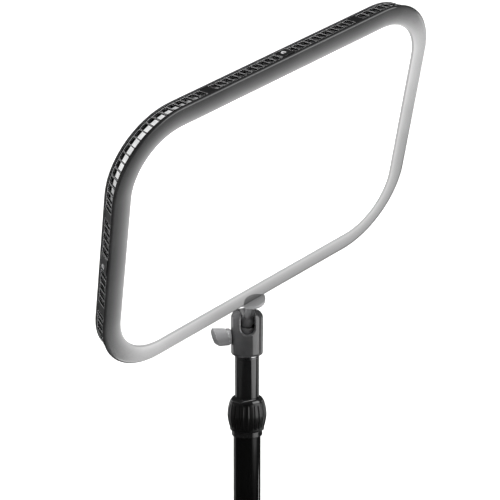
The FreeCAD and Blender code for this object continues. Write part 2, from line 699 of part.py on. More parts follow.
def electronics():
    """Driver board and its components, dial encoders and the power inlet."""
    board_back = -19.2
    block("driver_board", PANEL_PLACE, (-70, -10, board_back), (70, 52, board_back + 1.6))
    parts = []
    for x in (-52, -40, -28):
        parts.append(Part.makeCylinder(4.5, 6.2, Vector(x, 36, board_back - 6.2)))
    parts.append(solid_box((-8, 22, board_back - 6.0), (14, 44, board_back)))
    parts.append(solid_box((26, 24, board_back - 3.0), (42, 40, board_back)))
    parts.append(solid_box((50, 4, board_back - 5.0), (62, 20, board_back)))
    parts.append(solid_box((-60, 0, board_back - 1.4), (-46, 14, board_back)))
    parts.append(solid_box((-20, 0, board_back - 2.0), (-6, 10, board_back)))
    keep(group("board_components", parts), "board_components", PANEL_PLACE)

    left, right, middle, inlet = control_spots()
    back = -dims.housing_back.value
    encoders = []
    for spot in (left, right):
        case = solid_box((spot.x - 6, spot.y - 6, back + 2), (spot.x + 6, spot.y + 6, back + 7.5))
        encoders.append(case.cut(Part.makeCylinder(3.05, 3.6, Vector(spot.x, spot.y, back + 1.9))))
    keep(group("dial_encoders", encoders), "dial_encoders", PANEL_PLACE)

    barrel = Part.makeCylinder(5.5, 10, Vector(inlet.x, inlet.y, back - 0.4))
    barrel = barrel.cut(Part.makeCylinder(2.75, 8.5, Vector(inlet.x, inlet.y, back - 0.5)))
    barrel = barrel.fuse(Part.makeCylinder(1.0, 9.4, Vector(inlet.x, inlet.y, back + 0.1)))
    keep(group("dc_inlet", [barrel]), "dc_inlet", PANEL_PLACE)

    rim = solid_box((middle.x - 11, middle.y - 8.5, back - 1), (middle.x + 11, middle.y + 8.5, back))
    neck = solid_box((middle.x - 9.5, middle.y - 7, back), (middle.x + 9.5, middle.y + 7, back + 7))
    well = solid_box((middle.x - 7.3, middle.y - 4.8, back - 2), (middle.x + 7.3, middle.y + 4.8, back + 6))
    pivot = Part.makeCylinder(PIVOT_ROUND / 2, 17.4, Vector(middle.x - 8.7, middle.y, back + PIVOT_DEEP),
                              Vector(1, 0, 0))
    frame = rim.fuse(neck).cut(well).removeSplitter().cut(pivot)
    keep(group("switch_frame", [frame]), "switch_frame", PANEL_PLACE)


ROCKER_REST = 9.0


def controls():
    """Two dials with finger ribs, and the rocker, resting pushed in at its lit end."""
    back = -dims.housing_back.value
    radius = dims.dial_round.value / 2
    left, right, middle, _ = control_spots()
    for spot, name in ((left, "brightness_dial"), (right, "colour_dial")):
        grip = Part.makeCone(radius, radius - 0.7, 6.0, Vector(0, 0, 0), Vector(0, 0, -1))
        ribs = [Part.makeCylinder(0.55, 8, Vector(radius * math.cos(turn), radius * math.sin(turn), -7))
                for turn in (math.radians(15 * index) for index in range(24))]
        mark = solid_box((-0.5, radius - 5, -7), (0.5, radius + 1, -5.6))
        dial = grip.cut(Part.makeCompound(ribs)).cut(mark)
        dial = dial.fuse(Part.makeCylinder(3.0, 5.0, Vector(0, 0, -0.5)))
        dial.translate(Vector(spot.x, spot.y, back - 0.3))
        keep(group(name, [dial]), name, PANEL_PLACE)

    half_wide, half_tall = 7.0, 4.2
    side = Part.makePolygon([Vector(0, -half_tall, -2.4), Vector(0, 0, -1.5), Vector(0, half_tall, -2.4),
                             Vector(0, 3.4, 3.4), Vector(0, -3.4, 3.4), Vector(0, -half_tall, -2.4)])
    rocker = Part.Face(side).extrude(Vector(2 * half_wide, 0, 0))
    rocker.translate(Vector(-half_wide, 0, 0))
    rocker.rotate(Vector(), Vector(1, 0, 0), ROCKER_REST)
    pin = Part.makeCylinder(PIVOT_ROUND / 2 - 0.05, 17.2, Vector(-8.6, 0, 0), Vector(1, 0, 0))
    rocker = rocker.fuse(pin)
    rocker.translate(Vector(middle.x, middle.y, back + PIVOT_DEEP))
    keep(group("power_rocker", [rocker]), "power_rocker", PANEL_PLACE)


def mount_insert():
    insert = Part.makeCylinder(INSERT_ROUND / 2, INSERT_LONG,
                               Vector(0, -HALF_TALL.value, -dims.front_to_stem.value), Vector(0, 1, 0))
    bore = Part.makeCylinder(dims.socket_bore.value / 2, INSERT_LONG + 1,
                             Vector(0, -HALF_TALL.value - 0.5, -dims.front_to_stem.value), Vector(0, 1, 0))
    keep(group("mount_insert", [insert.cut(bore)]), "mount_insert", PANEL_PLACE)


# ---------------------------------------------------------------- ball head

def ball_stem():
    """Ball, flared neck and the stud that screws into the panel."""
    reach, disc = dims.stem_reach, dims.disc_deep
    top = reach + disc + 7.0
    stem = turned("stem_turned", [
        (0, 0), (dims.neck_round / 2, 0), (dims.neck_round / 2, reach - 12),
        (dims.neck_round / 2 + 0.5, reach - 8),
        (dims.neck_round / 2 + 1.2, reach - 4), (dims.neck_wide / 2, reach), (dims.stud_round / 2, reach),
        (dims.stud_round / 2, top - 0.6), (dims.stud_round / 2 - 0.6, top), (0, top)])
    ball = doc.addObject("Part::Sphere", "ball")
    bind(ball, Radius=dims.ball_round / 2)
    keep(fuse("ball_stem", [stem, ball]), "ball_stem", STEM_PLACE)


def platform_disc():
    """Knurled disc under the panel, chamfered at both rims."""
    radius, low, deep = dims.disc_round / 2, dims.stem_reach, dims.disc_deep
    disc = turned("disc_turned", [
        (dims.stud_round / 2, low), (radius - 1.0, low), (radius, low + 1.0),
        (radius, low + deep - 0.6), (radius - 0.6, low + deep), (dims.stud_round / 2, low + deep)])
    notches = []
    for index in range(DISC_NOTCHES):
        turn = 2 * math.pi * index / DISC_NOTCHES
        where = Vector((radius.value + 0.2) * math.cos(turn), (radius.value + 0.2) * math.sin(turn),
                       low.value + 1.1)
        notches.append(Part.makeCylinder(0.5, deep.value - 1.8, where))
    keep(cut("platform_disc", disc, [group("disc_knurl", notches)]), "platform_disc", STEM_PLACE)


def notched_cylinder():
    """Plain cylinder with the U notch cut down one side and the notch's outer edge chamfered."""
    radius, top = dims.head_round / 2, dims.head_up + 6
    half = dims.notch_wide / 2
    foot_height = -dims.notch_down + half
    sides = box("notch_sides", (-half, -(radius + 1), foot_height), (half, 0, top + 1))
    foot = cylinder("notch_foot", dims.notch_wide, 0.0, radius + 1, Vector(0, -1, 0), (0, 0, foot_height))
    notched = cut("notched", cylinder("head_blank", dims.head_round, -dims.head_down, top), [sides, foot])
    doc.recompute()
    outside = dims.head_round.value / 2

    def on_notch(edge):
        middle = edge.CenterOfMass
        ends = [math.hypot(vertex.X, vertex.Y) for vertex in edge.Vertexes]
        level = edge.BoundBox.ZMax - edge.BoundBox.ZMin < 0.01
        return min(ends) > outside - 0.01 and middle.y < 0 and abs(middle.x) < half.value + 0.1 and not level

    softened = doc.addObject("Part::Chamfer", "notch_chamfer")
    softened.Base = notched
    size = dims.notch_edge.value
    softened.Edges = [(index, size, size) for index, edge in enumerate(notched.Shape.Edges, start=1)
                      if on_notch(edge)]
    softened.Placement = Placement(Vector(), Rotation(Vector(0, 0, 1), -dims.notch_turn.value))
    return softened


def socket_body():
    """Domed cylinder round the ball with a flared mouth, a U notch and a cross bore."""
    radius, up, down = dims.head_round / 2, dims.head_up, dims.head_down
    form = turned("head_turned", [(0, -down), (radius - 0.25, -down), (radius, 0), (radius, up), (0, up)])
    soften(form, "PartDesign::Fillet", dims.head_dome, lambda edge: edge.BoundBox.ZMin > up.value - 0.01)
    soften(form, "PartDesign::Fillet", 2.4, lambda edge: edge.BoundBox.ZMax < 0.01 - down.value)
    outside = doc.addObject("Part::Common", "head_outside")
    outside.Base = form
    outside.Tool = notched_cylinder()
    ball = doc.addObject("Part::Sphere", "ball_space")
    bind(ball, Radius=dims.ball_round / 2 + 0.08)
    well = cylinder("ball_well", dims.ball_round + 0.2, -down - 1, 0.0)
    mouth = turned("mouth_turned", [(0, 2.0), (4.9, 2.0), (5.0, 3.4), (8.9, up + 0.1), (0, up + 0.1)])
    cross = cylinder("screw_bore", 5.1, -(radius + 1), 0.0, Vector(1, 0, 0), (0, 0, -dims.screw_down))
    recess = cylinder("side_recess", 7.4, radius - 1.6, radius + 1, Vector(1, 0, 0), (0, 0, -dims.screw_down))
    keep(cut("socket_body", outside, [ball, well, mouth, cross, recess]), "socket_body", HEAD_PLACE)


def head_inside():
    """Seat under the ball, base plug, and the lock screw with its knob."""
    ball_gap = dims.ball_round / 2 + 0.08
    seat = cylinder("seat_turned", dims.ball_round, -18.6, -4.6)
    cup = doc.addObject("Part::Sphere", "seat_cup")
    bind(cup, Radius=ball_gap)
    groove = cylinder("seat_groove", 5.8, -8.0, 0.6, Vector(1, 0, 0), (0, 0, -dims.screw_down))
    keep(cut("ball_seat", seat, [cup, groove]), "ball_seat", HEAD_PLACE)
    keep(tube("base_plug", dims.ball_round + 0.2, dims.socket_bore, -dims.head_down, -19.0),
         "base_plug", HEAD_PLACE)


GROOVE_START, GROOVE_WIDE, GROOVE_DEEP = -0.5, 1.0, 1.0
FACET_TURN = -42
FACET_WIDE = 2.8


def slanted_block(reach, thick):
    """A big block lying outward of a slanted plane that crosses the knob's axis at the given reach."""
    slab = solid_box((-20, -20, 0), (20, 20, thick))
    slab.rotate(Vector(), Vector(0, 1, 0), -dims.knob_slant.value)
    slab.translate(Vector(0, 0, reach))
    return slab


def lock_knob():
    """Flared knob with a slanted, faceted end and a slanted groove, and the screw it drives."""
    radius = dims.head_round / 2
    neck_radius, knob_radius, reach = dims.knob_neck / 2, dims.knob_round / 2, dims.knob_reach
    along_x = Placement(Vector(0, 0, -dims.screw_down.value), Rotation(Vector(0, 0, 1), Vector(-1, 0, 0)))
    place = HEAD_PLACE * along_x
    screw = turned("lock_screw", [
        (0, 0.4), (0.9, 0.4), (2.5, 2.4), (2.5, reach - 10), (0, reach - 10)])
    keep(screw, "lock_screw", place)
    start = radius + 0.5
    grip = turned("knob_turned", [
        (2.5, start), (neck_radius - 1.0, start), (neck_radius, start + 1.0), (knob_radius, reach - 2.5),
        (knob_radius, reach), (0, reach), (0, reach - 10), (2.5, reach - 10)])
    half = knob_radius.value
    lowered = half * math.tan(math.radians(dims.knob_slant.value))
    middle = reach.value - lowered
    groove = slanted_block(start.value + lowered + GROOVE_START, GROOVE_WIDE)
    groove = groove.cut(Part.makeCylinder(neck_radius.value - GROOVE_DEEP, 60, Vector(0, 0, -10)))
    facets = []
    for index in range(KNOB_FACETS):
        facet = solid_box((-8, half - FACET_WIDE, 0), (8, half + 6, 12))
        facet.rotate(Vector(0, half - FACET_WIDE, 0), Vector(1, 0, 0), FACET_TURN)
        facet.rotate(Vector(), Vector(0, 0, 1), 360.0 * index / KNOB_FACETS)
        facet.rotate(Vector(), Vector(0, 1, 0), -dims.knob_slant.value)
        facet.translate(Vector(0, 0, middle))
        facets.append(facet)
    cutters = [slanted_block(middle, 20), groove] + facets
    keep(cut("lock_knob", grip, [group(f"knob_cut_{index}", [cutter]) for index, cutter in enumerate(cutters)]),
         "lock_knob", place)


# ---------------------------------------------------------------- pole

def upper_pole():
    """Upper tube with its top plug and stud, the bright washer and the guide bush."""
    ball = dims.ball_height
    seam = ball - dims.head_down - 0.15
    washer_low = seam - 0.6
    plug_low = washer_low - 2.0
    keep(tube("seam_washer", dims.upper_round - 0.8, dims.stud_round + 0.1, washer_low, seam), "seam_washer")
    inside = dims.upper_round - 2 * dims.upper_wall
    plug = turned("tube_plug", [
        (0, plug_low - 16), (inside / 2, plug_low - 16), (inside / 2, plug_low),
        (dims.upper_round / 2, plug_low), (dims.upper_round / 2, washer_low),
        (dims.stud_round / 2, washer_low), (dims.stud_round / 2, seam + 8.0),
        (dims.stud_round / 2 - 0.6, seam + 8.6), (0, seam + 8.6)])
    keep(plug, "tube_plug")
    tube_low = plug_low - dims.upper_long
    keep(tube("upper_tube", dims.upper_round, inside, tube_low, plug_low), "upper_tube")
    bore = dims.lower_round - 2 * dims.lower_wall
    bush = turned("guide_bush", [
        (6, tube_low - 12), (bore / 2 - dims.fit_gap, tube_low - 12), (bore / 2 - dims.fit_gap, tube_low),
        (inside / 2, tube_low), (inside / 2, tube_low + 14), (6, tube_low + 14)])
    keep(bush, "guide_bush")


def lower_pole():
    """Lower tube and the plug in its foot."""
    bore = dims.lower_round - 2 * dims.lower_wall
    foot = dims.foot_deep
    keep(tube("lower_tube", dims.lower_round, bore, foot, foot + dims.lower_long), "lower_tube")
    plug = turned("foot_turned", [
        (0, 0), (dims.lower_round / 2 - 0.6, 0), (dims.lower_round / 2 - 0.2, 0.4),
        (dims.lower_round / 2 - 0.2, foot), (bore / 2, foot), (bore / 2, 20), (0, 20)])
    keep(cut("foot_plug", plug, [cylinder("foot_hole", dims.foot_bore, -1, 14)]), "foot_plug")


def collar():
    """Twist lock: base ring on the lower tube, split collet, ribbed grip and bright shoulder ring."""
    low, top = dims.collar_foot, dims.collar_top
    tube_half = dims.lower_round / 2
    thread = tube_half + 1.05
    grip_low = low + 5.4
    grip_top = top - 3.4
    base = turned("collar_base", [
        (tube_half, low), (dims.base_round / 2 - 0.7, low), (dims.base_round / 2, low + 0.7),
        (dims.base_round / 2, grip_low - 0.5), (thread, grip_low - 0.2),
        (thread, grip_low + 12), (tube_half, grip_low + 12)])
    keep(base, "collar_base")

    sleeve = dims.upper_round / 2 + dims.fit_gap
    waist, collet_low = sleeve + 1.55, dims.foot_deep + dims.lower_long
    collet = turned("collet_turned", [
        (sleeve, collet_low), (waist, collet_low), (waist, collet_low + 3.5), (waist - 0.9, collet_low + 9.5),
        (sleeve, collet_low + 9.5)])
    slits = []
    for index in range(COLLET_SLITS):
        slit = solid_box((5, -0.5, collet_low.value + 2.5), (14, 0.5, collet_low.value + 12))
        slit.rotate(Vector(), Vector(0, 0, 1), 360.0 * index / COLLET_SLITS)
        slits.append(slit)
    keep(cut("collet", collet, [group("collet_slits", slits)]), "collet")

    radius = dims.grip_round / 2
    inside = thread + dims.fit_gap
    grip = turned("grip_turned", [
        (inside, grip_low), (radius - 2.6, grip_low), (radius - 2.0, grip_low + 0.7),
        (radius - 2.0, grip_low + 2.6), (radius - 1.3, grip_low + 5.0), (radius - 0.5, grip_low + 8.7),
        (radius, grip_low + 12.6), (radius - 0.05, grip_low + 15.6), (radius - 0.55, grip_low + 19.6),
        (radius - 1.35, grip_low + 23.0), (radius - 2.1, grip_top), (inside, grip_top)])
    grooves = []
    for index in range(GRIP_RIBS):
        turn = 2 * math.pi * index / GRIP_RIBS
        where = Vector((radius.value + 0.7) * math.cos(turn), (radius.value + 0.7) * math.sin(turn),
                       grip_low.value + 3.2)
        grooves.append(Part.makeCylinder(1.25, grip_top.value - grip_low.value - 4.6, where))
    keep(cut("twist_grip", grip, [group("grip_grooves", grooves)]), "twist_grip")

    mouth = dims.upper_round / 2 + dims.free_gap
    shoulder = dims.shoulder_round / 2
    ring = turned("shoulder_ring", [
        (inside, grip_top), (shoulder, grip_top), (shoulder - 0.05, grip_top + 0.7),
        (shoulder - 0.5, grip_top + 1.7), (shoulder - 1.1, grip_top + 2.6), (shoulder - 2.0, top),
        (mouth, top), (mouth, top - 2.4)])
    keep(ring, "shoulder_ring")


# ---------------------------------------------------------------- build, check, write

def is_sound(thing):
    return not ({"Invalid", "Error"} & set(thing.State))


def main():
    for make in (front_bezel, vent_ring, rim_screws, light_stack, led_strips, rear_cover, rear_screws,
                 rear_housing, electronics, controls, mount_insert, ball_stem, platform_disc,
                 socket_body, head_inside, lock_knob, upper_pole, lower_pole, collar):
        make()
    doc.recompute()
    faulty = [thing.Label for thing in doc.Objects if not is_sound(thing)]
    faulty += [node.Label for node in nodes if node.Shape.isNull() or not node.Shape.isValid()]
    if faulty:
        raise SystemExit(f"faulty: {faulty}")
    os.makedirs("parts", exist_ok=True)
    for node in nodes:
        node.Shape.exportStep(f"parts/{node.Label}.step")
        bounds = node.Shape.BoundBox
        print(f"{node.Label:18s} solids {len(node.Shape.Solids):3d} volume {node.Shape.Volume:10.1f} "
              f"z {bounds.ZMin:7.1f} {bounds.ZMax:7.1f}")


main()
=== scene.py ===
import json
import math

import bmesh
import bpy
from mathutils import Matrix, Vector


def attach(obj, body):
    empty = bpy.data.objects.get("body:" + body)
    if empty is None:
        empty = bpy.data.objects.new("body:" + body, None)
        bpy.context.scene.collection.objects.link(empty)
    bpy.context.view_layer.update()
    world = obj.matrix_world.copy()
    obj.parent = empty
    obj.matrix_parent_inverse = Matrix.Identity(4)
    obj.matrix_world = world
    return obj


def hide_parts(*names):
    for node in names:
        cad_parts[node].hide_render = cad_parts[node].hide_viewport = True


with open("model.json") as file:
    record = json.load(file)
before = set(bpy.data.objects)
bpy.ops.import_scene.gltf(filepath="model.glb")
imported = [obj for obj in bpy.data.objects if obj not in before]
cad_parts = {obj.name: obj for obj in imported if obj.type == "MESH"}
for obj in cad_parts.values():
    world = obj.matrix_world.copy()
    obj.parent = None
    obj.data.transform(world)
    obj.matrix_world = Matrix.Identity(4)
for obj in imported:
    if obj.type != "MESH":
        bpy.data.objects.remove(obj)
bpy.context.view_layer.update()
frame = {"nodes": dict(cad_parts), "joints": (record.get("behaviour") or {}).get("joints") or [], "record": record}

MM = 0.001
nodes = frame["nodes"]
joints = {joint["name"]: joint for joint in frame["joints"]}
BALL = Vector(joints["ball_tilt"]["pos_m"])
SLOTS = {part["node"]: part["material_slot"] for part in frame["record"]["subparts"]}


# ---------------------------------------------------------------- the panel's own axes

def panel_place():
    """Place of the panel, x along its width, y up its height, z out of its face, and its size."""
    wide_way = Vector(joints["power_rock"]["axis"]).normalized()
    light_way = -Vector(joints["brightness_turn"]["axis"]).normalized()
    tall_way = light_way.cross(wide_way)
    turn = Matrix((wide_way, tall_way, light_way))
    points = [turn @ vertex.co for vertex in nodes["front_bezel"].data.vertices]
    lows = Vector(min(point[axis] for point in points) for axis in range(3))
    highs = Vector(max(point[axis] for point in points) for axis in range(3))
    middle = (lows + highs) / 2
    middle.z = highs.z
    place = turn.transposed().to_4x4()
    place.translation = turn.transposed() @ middle
    return place, highs - lows


PANEL, PANEL_SIZE = panel_place()
HALF_WIDE, HALF_TALL = PANEL_SIZE.x / 2, PANEL_SIZE.y / 2
CORNER = 64.8 * MM
BEZEL_WIDE = 17.6 * MM
BEZEL_DEEP = PANEL_SIZE.z
LIP_WIDE, LIP_DEEP = 4.0 * MM, 1.3 * MM


# ---------------------------------------------------------------- material graph

# Cosines between the true and the rounded surface: fully on an edge, and off it.
EDGE_TURNED, EDGE_FLAT = 0.72, 0.985


class Finish:
    """A Principled material that follows noise in the piece's own space."""

    def __init__(self, name, metallic=0.0, ior=1.5):
        self.material = bpy.data.materials.new(name)
        self.material.use_nodes = True
        self.tree = self.material.node_tree
        self.shader = self.tree.nodes["Principled BSDF"]
        self.shader.inputs["Metallic"].default_value = metallic
        self.shader.inputs["IOR"].default_value = ior
        self.place = self.add("ShaderNodeTexCoord").outputs["Object"]
        self.height = None

    def add(self, kind, inputs=(), **settings):
        """A node with its settings, and its inputs given as pairs of socket and value or link."""
        node = self.tree.nodes.new(kind)
        for key, value in settings.items():
            setattr(node, key, value)
        for key, value in inputs:
            if isinstance(value, bpy.types.NodeSocket):
                self.tree.links.new(value, node.inputs[key])
            else:
                node.inputs[key].default_value = value
        return node

    def math(self, operation, first, second=0.0):
        inputs = ((0, first), (1, second))
        return self.add("ShaderNodeMath", inputs, operation=operation).outputs[0]

    def stretched(self, stretch):
        """Object space squeezed along each axis, for grain that runs one way."""
        inputs = ((0, self.place), (1, stretch))
        return self.add("ShaderNodeVectorMath", inputs, operation="MULTIPLY").outputs[0]

    def noise(self, scale, detail=3.0, place=None, rough=0.55):
        inputs = (("Vector", place or self.place), ("Scale", scale), ("Detail", detail),
                  ("Roughness", rough))
        return self.add("ShaderNodeTexNoise", inputs).outputs["Fac"]

    def cells(self, scale):
        inputs = (("Vector", self.place), ("Scale", scale))
        return self.add("ShaderNodeTexVoronoi", inputs).outputs["Distance"]

    def spread(self, value, low, high, start=0.3, end=0.7):
        """Stretch a texture's middle range over low to high."""
        inputs = ((0, value), (1, start), (2, end), (3, low), (4, high))
        return self.add("ShaderNodeMapRange", inputs, clamp=True).outputs[0]

    def mix(self, amount, first, second):
        """Blend of two colours, each a colour or a link."""
        inputs = [(0, amount)]
        for slot, value in ((6, first), (7, second)):
            linked = isinstance(value, bpy.types.NodeSocket)
            inputs.append((slot, value if linked else (*value, 1.0)))
        return self.add("ShaderNodeMix", inputs, data_type="RGBA").outputs[2]

    def between(self, texture, first, second):
        """Colour that goes from first to second over a texture's middle range."""
        return self.mix(self.spread(texture, 0.0, 1.0), first, second)

    def measure(self, operation, first, second):
        """A number from two vectors, such as their distance."""
        inputs = ((0, first), (1, second))
        return self.add("ShaderNodeVectorMath", inputs, operation=operation).outputs["Value"]

    def edges(self, radius):
        """Nought on flat ground, rising to one along convex and concave edges."""
        rounded = self.add("ShaderNodeBevel", (("Radius", radius),), samples=4).outputs[0]
        flat = self.add("ShaderNodeNewGeometry").outputs["Normal"]
        along = self.measure("DOT_PRODUCT", rounded, flat)
        return self.spread(along, 1.0, 0.0, EDGE_TURNED, EDGE_FLAT)

    def bump(self, value, distance):
        """Add one more layer of relief; distance is its depth in metres."""
        inputs = [("Height", value), ("Distance", distance), ("Strength", 1.0)]
        if self.height is not None:
            inputs.append(("Normal", self.height))
        self.height = self.add("ShaderNodeBump", inputs).outputs[0]

    def done(self, colour, roughness, glow=None, glow_strength=1.0):
        self.tree.links.new(colour, self.shader.inputs["Base Color"])
        self.tree.links.new(roughness, self.shader.inputs["Roughness"])
        if glow is not None:
            self.tree.links.new(glow, self.shader.inputs["Emission Color"])
            self.shader.inputs["Emission Strength"].default_value = glow_strength
        if self.height is not None:
            self.tree.links.new(self.height, self.shader.inputs["Normal"])
        return self.material


def shade(colour, factor):
    return tuple(min(1.0, part * factor) for part in colour)


PATCHY_GLOSS = 0.12


def coated(name, colour, rough, grain, depth, wear_and_highlight_colour=None, wear_and_highlight=0.0, vary=0.25, edge=0.00035,
           ior=1.5):
    """Paint, plastic or anodising: cloudy colour, patchy gloss, fine grain, and edges mixed toward a lighter
    colour, rubbed paint on most finishes and a painted highlight on the head's pieces.
    """
    finish = Finish(name, ior=ior)
    cloud = finish.noise(38.0, 4.0)
    smear = finish.noise(11.0, 5.0, rough=0.65)
    base = finish.between(cloud, shade(colour, 1 - vary), shade(colour, 1 + vary))
    if wear_and_highlight:
        speckle = finish.spread(finish.noise(420.0, 4.0), 0.0, 1.0, 0.42, 0.66)
        edges = finish.edges(edge)
        amount = finish.math("MULTIPLY", edges, finish.math("MULTIPLY", speckle, wear_and_highlight))
        base = finish.mix(amount, base, wear_and_highlight_colour)
    gloss = finish.spread(smear, rough * (1 - PATCHY_GLOSS), rough * (1 + PATCHY_GLOSS))
    finish.bump(finish.noise(grain, 2.0), depth)
    return finish.done(base, gloss)


def metal(name, colour, rough, stretch):
    """Bare or dark metal with fine lines running one way."""
    finish = Finish(name, metallic=1.0)
    lines = finish.noise(1.0, 3.0, finish.stretched(stretch))
    stain = finish.noise(60.0, 4.0)
    base = finish.between(stain, shade(colour, 0.8), shade(colour, 1.12))
    gloss = finish.spread(lines, rough * 0.7, rough * 1.35)
    finish.bump(lines, 0.000004)
    return finish.done(base, gloss)


# ---------------------------------------------------------------- the finishes

# Painted glow on the bezel, emission standing in for light spilled from the diffuser: its strength, and the
# distances in mm over which it fades and sets in.
GLOW_NEAR_DIFFUSER = 0.031
GLOW_FADE = 6.6
GLOW_STARTS = 1.4


def frame_paint():
    """Satin black bezel with a painted glow: emission over its inner edge, fading outward, stands in for light
    spilling from the diffuser.
    """
    finish = Finish("satin_black_frame", ior=1.5)
    cloud = finish.noise(30.0, 4.0)
    base = finish.between(cloud, (0.012, 0.012, 0.0123), (0.018, 0.018, 0.0185))
    smear = finish.noise(14.0, 5.0, rough=0.62)
    finish.bump(finish.noise(5200.0, 2.0), 0.0000012)
    inset = finish.add("ShaderNodeAttribute", attribute_name="inset").outputs["Fac"]
    # painted glow: the bezel emits light that fades outward from the diffuser's edge
    fade = finish.math("EXPONENT", finish.math("DIVIDE", inset, GLOW_FADE))
    painted_glow = finish.math("MULTIPLY", fade, GLOW_NEAR_DIFFUSER)
    painted_glow = finish.math("MULTIPLY", painted_glow, finish.spread(inset, 0.1, 1.0, 0.0, GLOW_STARTS))
    painted_glow = finish.math("MULTIPLY", painted_glow, finish.spread(cloud, 0.94, 1.06))
    glow = finish.add("ShaderNodeCombineColor", ((0, painted_glow), (1, painted_glow), (2, painted_glow))).outputs[0]
    return finish.done(base, finish.spread(smear, 0.055, 0.085), glow)


def opal():
    """Opal sheet lit from behind, its glow and colour faintly mottled."""
    finish = Finish("opal_diffuser", ior=1.49)
    mottle = finish.noise(26.0, 3.0)
    glow = finish.between(mottle, (0.97, 0.975, 0.98), (1.0, 1.0, 1.0))
    base = finish.between(mottle, (0.86, 0.86, 0.85), (0.9, 0.9, 0.89))
    finish.bump(finish.noise(3800.0, 2.0), 0.000004)
    return finish.done(base, finish.spread(finish.noise(15.0), 0.5, 0.6), glow, 1.02)


# Corner of the inner frame that gets painted light, in the panel's own axes.
PAINTED_LIGHT_CORNER = Vector((-0.150, 0.104, -0.006))


def lit_wall():
    """Grey inner frame with painted light at one corner, a lighter colour and a glow there, and a near-black
    colour elsewhere as painted shade.
    """
    finish = Finish("grey_frame")
    away = finish.measure("DISTANCE", finish.place, PANEL @ PAINTED_LIGHT_CORNER)
    cloud = finish.noise(45.0, 4.0)
    bare = finish.between(cloud, (0.42, 0.42, 0.43), (0.62, 0.62, 0.63))
    # painted light and shade: base colour grey near the corner, near black away from it
    base = finish.mix(finish.spread(away, 0.0, 1.0, 0.045, 0.1), bare, (0.03, 0.03, 0.031))
    blast = finish.noise(2600.0, 2.0)
    finish.bump(blast, 0.00001)
    patchy = finish.between(cloud, (0.48, 0.48, 0.48), (0.72, 0.72, 0.72))
    # painted glow near the corner, though the frame is no lamp
    glow = finish.mix(finish.spread(away, 0.0, 1.0, 0.018, 0.052), patchy, (0.0, 0.0, 0.0))
    return finish.done(base, finish.spread(blast, 0.42, 0.6), glow)


def tube_paint(name, tone, gloss, ior):
    """Gloss black tube with faint draw lines down its length."""
    finish = Finish(name, ior=ior)
    lines = finish.noise(1.0, 3.0, finish.stretched((1500.0, 1500.0, 5.0)))
    smear = finish.noise(18.0, 5.0, rough=0.65)
    dust = finish.spread(finish.noise(900.0, 2.0), 0.0, 1.0, 0.68, 0.78)
    base = finish.between(smear, (tone, tone, tone * 1.04), (tone * 2, tone * 2, tone * 2.1))
    base = finish.mix(finish.math("MULTIPLY", dust, 0.25), base, (tone * 12,) * 3)
    scuff = finish.spread(lines, gloss * 0.75, gloss * 1.25)
    finish.bump(lines, 0.0000006)
    return finish.done(base, scuff)


def grip_rubber():
    """Black rubber with a pebbled skin, rubbed a little lighter on its edges."""
    finish = Finish("grip_black", ior=1.4)
    cloud = finish.noise(55.0, 4.0)
    pebble = finish.cells(2300.0)
    base = finish.between(cloud, (0.0012, 0.0012, 0.0013), (0.0028, 0.0028, 0.0029))
    rubbed = finish.math("MULTIPLY", finish.edges(0.0007), 0.3)
    base = finish.mix(rubbed, base, (0.02, 0.02, 0.021))
    finish.bump(pebble, 0.000012)
    return finish.done(base, finish.spread(finish.noise(24.0), 0.26, 0.34))


# Height over the panel's face behind which the rim's edges are given a painted highlight.
SEAM_BEHIND, SEAM_BEFORE = -0.0034, -0.0031


def rim_paint():
    """Matt black rim with painted highlights: its edges behind the seam are painted near white and given a faint
    glow.
    """
    finish = Finish("rim_black", ior=1.1)
    out_way = PANEL.to_3x3() @ Vector((0, 0, 1))
    height = finish.measure("DOT_PRODUCT", finish.place, out_way)
    height = finish.math("SUBTRACT", height, PANEL.translation.dot(out_way))
    behind_seam = finish.spread(height, 1.0, 0.0, SEAM_BEHIND, SEAM_BEFORE)
    cloud = finish.noise(40.0, 4.0)
    base = finish.between(cloud, (0.007, 0.007, 0.0072), (0.012, 0.012, 0.0123))
    edges = finish.edges(0.0006)
    # painted highlight: edges behind the seam mixed toward near white
    bright = finish.math("MULTIPLY", edges, finish.math("MULTIPLY", behind_seam, 0.95))
    base = finish.mix(bright, base, (0.75, 0.75, 0.76))
    finish.bump(finish.noise(3200.0, 2.0), 0.000004)
    # and a faint painted glow on the same edges
    glint = finish.mix(bright, (0.0, 0.0, 0.0), (0.14, 0.14, 0.14))
    return finish.done(base, finish.spread(cloud, 0.3, 0.4), glint)


def circuit():
    """Green board with faint copper runs under the mask."""
    finish = Finish("green_board", ior=1.5)
    runs = finish.add("ShaderNodeTexBrick", (("Vector", finish.stretched((260.0, 260.0, 260.0))),
                                             ("Mortar Size", 0.08))).outputs["Fac"]
    run = finish.spread(runs, 0.0, 1.0, 0.0, 1.0)
    base = finish.mix(run, (0.015, 0.09, 0.04), (0.03, 0.16, 0.07))
    finish.bump(runs, 0.00002)
    return finish.done(base, finish.spread(finish.noise(40.0), 0.28, 0.42))


def phosphor():
    """Yellow LED phosphor, lit."""
    finish = Finish("led_yellow", ior=1.45)
    spot = finish.noise(900.0, 2.0)
    glow = finish.between(spot, (1.0, 0.93, 0.8), (1.0, 0.98, 0.92))
    base = finish.between(spot, (0.85, 0.7, 0.25), (0.95, 0.82, 0.35))
    return finish.done(base, finish.spread(finish.noise(60.0), 0.2, 0.35), glow, 2.0)


BLACK_STEEL = (0.09, 0.09, 0.093)
BRASS = (0.66, 0.48, 0.2)
SILVER = (0.68, 0.69, 0.7)

